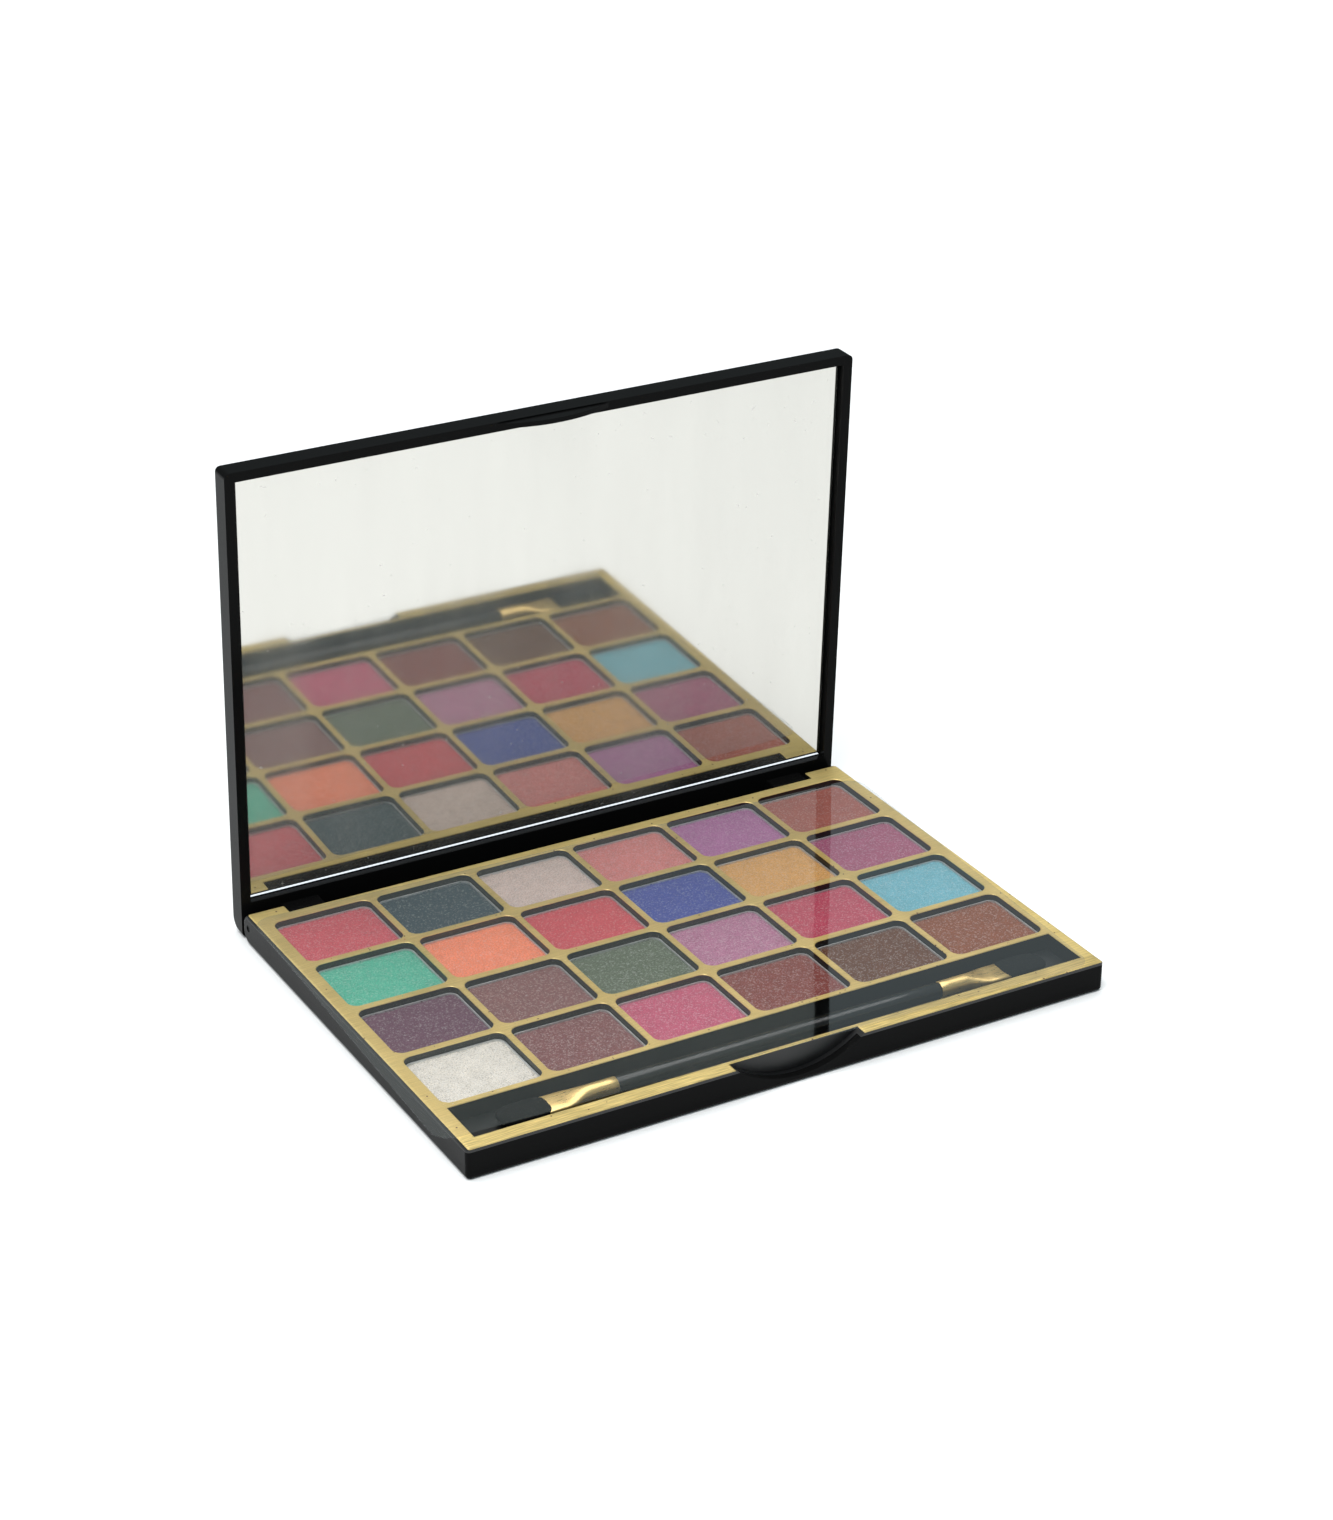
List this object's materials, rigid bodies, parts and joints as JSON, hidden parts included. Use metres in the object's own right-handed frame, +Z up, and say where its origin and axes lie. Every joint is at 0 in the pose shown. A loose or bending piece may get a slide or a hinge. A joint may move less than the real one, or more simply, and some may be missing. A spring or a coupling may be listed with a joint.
{
  "type": "eyeshadow palette",
  "caption": "Slim rectangular eyeshadow palette: hinged mirrored lid, gold-topped tray of pressed powder pans, double-ended applicator in a channel and a clear loose film.",
  "frame": {"origin": "in the flat underside of the base, at the centre of the closed case's outline", "axes": "+X to the right along the length, +Y towards the hinge, +Z up out of the tray"},
  "size_m": [0.1547, 0.1149, 0.11],
  "materials": {
    "gloss_black_case": "high gloss moulded black",
    "gold_stamped_tray": "gold hot-stamped top on black plastic",
    "pan_glue": "dried glue",
    "steel_pins": "plain drawn wire",
    "tin_pans": "pressed sheet",
    "powder_crimson": "pressed shimmer powder",
    "powder_jet": "pressed shimmer powder",
    "powder_champagne": "pressed shimmer powder",
    "powder_rose": "pressed shimmer powder",
    "powder_orchid": "pressed shimmer powder",
    "powder_terracotta": "pressed shimmer powder",
    "powder_emerald": "pressed shimmer powder",
    "powder_coral": "pressed shimmer powder",
    "powder_scarlet": "pressed shimmer powder",
    "powder_royal_blue": "pressed shimmer powder",
    "powder_amber": "pressed shimmer powder",
    "powder_magenta": "pressed shimmer powder",
    "powder_plum": "pressed shimmer powder",
    "powder_taupe": "pressed shimmer powder",
    "powder_olive": "pressed shimmer powder",
    "powder_lilac": "pressed shimmer powder",
    "powder_raspberry": "pressed shimmer powder",
    "powder_turquoise": "pressed shimmer powder",
    "powder_silver": "pressed shimmer powder",
    "powder_mocha": "pressed shimmer powder",
    "powder_fuchsia": "pressed shimmer powder",
    "powder_maroon": "pressed shimmer powder",
    "powder_umber": "pressed shimmer powder",
    "powder_copper": "pressed shimmer powder",
    "mirror_glass": "silvered flat glass",
    "white_tape": "foam tape",
    "clear_film": "clear glossy sheet",
    "gloss_black_handle": "glossy black",
    "gold_ferrule": "bright gold anodised",
    "black_foam": "fine open foam"
  },
  "bodies": {
    "base": {"base_shell": "gloss_black_case", "tray_back_row": "gold_stamped_tray", "tray_second_row": "gold_stamped_tray", "tray_third_row": "gold_stamped_tray", "tray_front_row": "gold_stamped_tray", "tray_floor": "gold_stamped_tray", "trough_floor": "gold_stamped_tray", "trough_walls": "gold_stamped_tray", "pan_glue": "pan_glue", "hinge_pins": "steel_pins", "pans_back_row": "tin_pans", "pans_second_row": "tin_pans", "pans_third_row": "tin_pans", "pans_front_row": "tin_pans", "cake_crimson": "powder_crimson", "cake_jet": "powder_jet", "cake_champagne": "powder_champagne", "cake_rose": "powder_rose", "cake_orchid": "powder_orchid", "cake_terracotta": "powder_terracotta", "cake_emerald": "powder_emerald", "cake_coral": "powder_coral", "cake_scarlet": "powder_scarlet", "cake_royal_blue": "powder_royal_blue", "cake_amber": "powder_amber", "cake_magenta": "powder_magenta", "cake_plum": "powder_plum", "cake_taupe": "powder_taupe", "cake_olive": "powder_olive", "cake_lilac": "powder_lilac", "cake_raspberry": "powder_raspberry", "cake_turquoise": "powder_turquoise", "cake_silver": "powder_silver", "cake_mocha": "powder_mocha", "cake_fuchsia": "powder_fuchsia", "cake_maroon": "powder_maroon", "cake_umber": "powder_umber", "cake_copper": "powder_copper"},
    "lid": {"lid_shell": "gloss_black_case", "mirror": "mirror_glass", "mirror_tape": "white_tape"},
    "film": {"protective_film": "clear_film"},
    "applicator": {"applicator_handle": "gloss_black_handle", "ferrule_left": "gold_ferrule", "ferrule_right": "gold_ferrule", "sponge_tip_left": "black_foam", "sponge_tip_right": "black_foam"}
  },
  "joints": [
    {"name": "lid_hinge", "type": "hinge", "parent": "base", "child": "lid", "pos_m": [0, 0.0507, 0.0042], "axis": [-1, 0, 0], "range_deg": [-88, 0]},
    {"name": "film_lift", "type": "slide", "parent": "base", "child": "film", "axis": [0, 0, 1], "range_m": [0, 0.06]},
    {"name": "applicator_lift", "type": "slide", "parent": "base", "child": "applicator", "axis": [0, 0, 1], "range_m": [0, 0.03]}
  ],
  "couplings": [
    {"joint": "applicator_lift", "follows": "film_lift", "ratio": 0.5}
  ]
}
